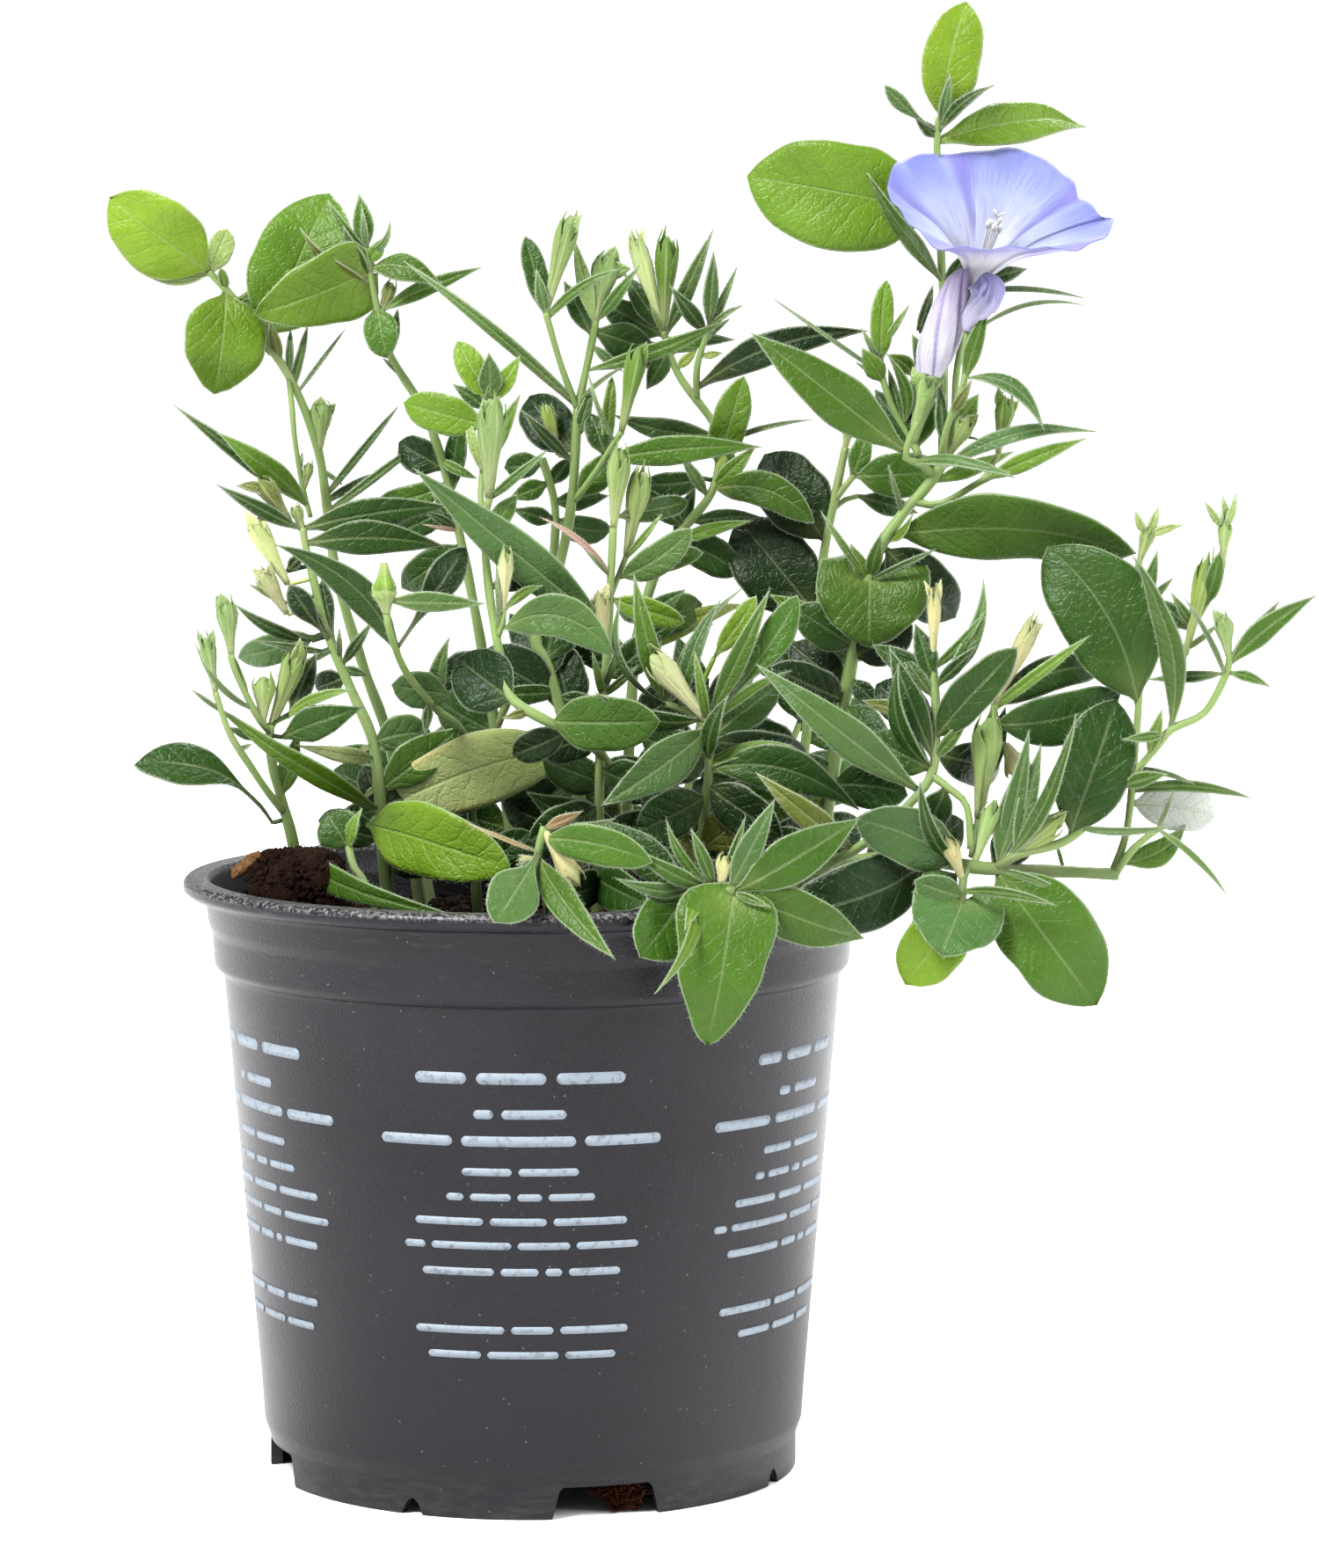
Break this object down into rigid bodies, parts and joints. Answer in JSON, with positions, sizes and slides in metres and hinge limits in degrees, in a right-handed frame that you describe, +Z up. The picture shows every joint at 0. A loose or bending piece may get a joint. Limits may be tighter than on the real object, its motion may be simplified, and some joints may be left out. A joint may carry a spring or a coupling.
{
  "type": "potted ground morning glory",
  "caption": "Low, bushy morning glory with slender leafy shoots, hairy buds and one open blue funnel flower, growing in a round dark nursery pot.",
  "frame": {"origin": "on the floor, under the middle of the whole plant and pot's box", "axes": "+Z up, -Y toward the front, +X to the right, where the open flower and the runner are"},
  "size_m": [0.2192, 0.1428, 0.2733],
  "materials": {
    "pot_plastic": "matte",
    "mix": "matte",
    "bark": "matte",
    "root": "matte",
    "shoot": "matte",
    "leaf": "satin",
    "leaf_young": "satin",
    "leaf_dark": "satin",
    "leaf_grey": "matte",
    "petal": "matte",
    "bud_petal": "matte",
    "stamen": "matte"
  },
  "bodies": {
    "root": {"pot": "pot_plastic", "potting_mix": "mix", "peat_lump": "mix", "bark_chip": "bark", "root_tuft": "root", "left_shoot": "shoot", "small_left_shoot": "shoot", "second_shoot": "shoot", "bud_stem": "shoot", "tall_left_shoot": "shoot", "upper_left_shoot": "shoot", "front_bright_shoot": "shoot", "centre_shoot": "shoot", "spent_flower_shoot": "shoot", "centre_front_shoot": "shoot", "right_front_shoot": "shoot", "front_rosette": "shoot", "centre_low_shoot": "shoot", "centre_right_shoot": "shoot", "tall_right_shoot": "shoot", "right_low_shoot": "shoot", "right_upright_shoot": "shoot", "runner_shoot": "shoot", "back_left_shoot": "shoot", "back_centre_shoot": "shoot", "back_right_shoot": "shoot", "flower_corolla": "petal", "flower_stamens": "stamen", "closed_bud": "bud_petal", "fading_flower": "petal", "left_cupped_leaf": "leaf", "long_light_leaf": "leaf", "yellowing_leaf": "leaf_young", "front_left_leaf": "leaf_young", "striped_lance_leaf": "leaf_grey", "glossy_dark_leaf": "leaf_dark", "top_left_leaf": "leaf_young", "round_left_leaf": "leaf", "broad_back_leaf": "leaf", "heart_gloss_leaf": "leaf", "arched_front_leaf": "leaf_grey", "glossy_front_leaf": "leaf", "pale_lance_leaf": "leaf_grey", "hanging_front_leaf": "leaf", "left_front_leaf": "leaf", "long_right_leaf": "leaf", "rim_hanging_leaf": "leaf", "slate_leaf": "leaf_dark", "big_dark_leaf": "leaf_dark", "upright_top_leaf": "leaf_young", "right_top_leaf": "leaf", "big_oval_right_leaf": "leaf", "long_green_leaf": "leaf", "big_right_leaf": "leaf", "heart_leaf": "leaf", "silver_long_leaf": "leaf_grey", "big_lower_right_leaf": "leaf", "grey_heart_leaf": "leaf_grey", "deep_right_leaf": "leaf_dark", "right_broad_leaf": "leaf_dark"}
  },
  "joints": []
}
